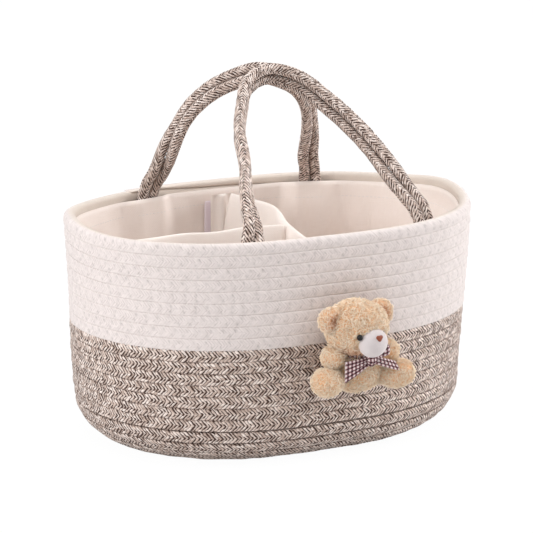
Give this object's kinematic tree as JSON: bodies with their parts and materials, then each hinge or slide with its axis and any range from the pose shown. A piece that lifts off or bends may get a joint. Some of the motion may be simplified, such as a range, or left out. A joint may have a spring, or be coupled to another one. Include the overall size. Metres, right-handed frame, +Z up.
{
  "type": "diaper caddy",
  "caption": "Oval storage basket of coiled rope with rope handles that lean together, a canvas liner, a lift-out padded divider and a plush bear on the front.",
  "frame": {"origin": "underside of the base, in the middle of the basket", "axes": "+Z up, -Y out of the long side that carries the bear, +X towards the end without the divider's stem"},
  "size_m": [0.3558, 0.3064, 0.3085],
  "materials": {
    "mottled_rope": "braided cotton rope of light and dark brown yarns",
    "white_rope": "braided white cotton rope",
    "canvas": "plain woven cream canvas",
    "tape": "hook and loop tape",
    "plush": "short curly plush",
    "muzzle": "short white plush",
    "nose": "brown embroidery",
    "eye": "glossy black bead",
    "ribbon": "maroon and white gingham ribbon"
  },
  "bodies": {
    "basket": {"mottled_rope_coil": "mottled_rope", "white_rope_coil": "white_rope", "liner_wall": "canvas", "liner_floor": "canvas", "front_left_inner_tail": "mottled_rope", "front_right_inner_tail": "mottled_rope", "front_left_outer_tail": "mottled_rope", "front_right_outer_tail": "mottled_rope", "rear_left_inner_tail": "mottled_rope", "rear_right_inner_tail": "mottled_rope", "rear_left_outer_tail": "mottled_rope", "rear_right_outer_tail": "mottled_rope", "rear_loop_tape": "tape", "front_loop_tape": "tape", "end_loop_tape": "tape", "bear_head": "plush", "bear_body": "plush", "bear_left_arm": "plush", "bear_left_leg": "plush", "bear_left_ear": "plush", "bear_right_arm": "plush", "bear_right_leg": "plush", "bear_right_ear": "plush", "bear_muzzle": "muzzle", "bear_nose": "nose", "bear_left_eye": "eye", "bear_right_eye": "eye", "bear_neck_ribbon": "ribbon", "bear_bow_knot": "ribbon", "bear_bow_left_tail": "ribbon", "bear_bow_right_tail": "ribbon"},
    "front_handle": {"front_handle_inner_rope": "mottled_rope", "front_handle_outer_rope": "mottled_rope"},
    "rear_handle": {"rear_handle_inner_rope": "mottled_rope", "rear_handle_outer_rope": "mottled_rope"},
    "divider": {"divider_cross_panel": "canvas", "divider_stem_panel": "canvas", "divider_rear_tab": "canvas", "rear_hook_tape": "tape", "divider_front_tab": "canvas", "front_hook_tape": "tape", "divider_stem_tab": "canvas", "end_hook_tape": "tape"}
  },
  "joints": [
    {"name": "front_handle_hinge", "type": "hinge", "parent": "basket", "child": "front_handle", "pos_m": [0.0185, -0.09271, 0.198], "axis": [0.9972, 0.0742, 0], "range_deg": [0, 144]},
    {"name": "rear_handle_hinge", "type": "hinge", "parent": "basket", "child": "rear_handle", "pos_m": [0.0086, 0.09517, 0.198], "axis": [-0.9996, 0.0292, 0], "range_deg": [0, 124]},
    {"name": "divider_lift", "type": "slide", "parent": "basket", "child": "divider", "axis": [0, 0, 1], "range_m": [0, 0.095]}
  ]
}
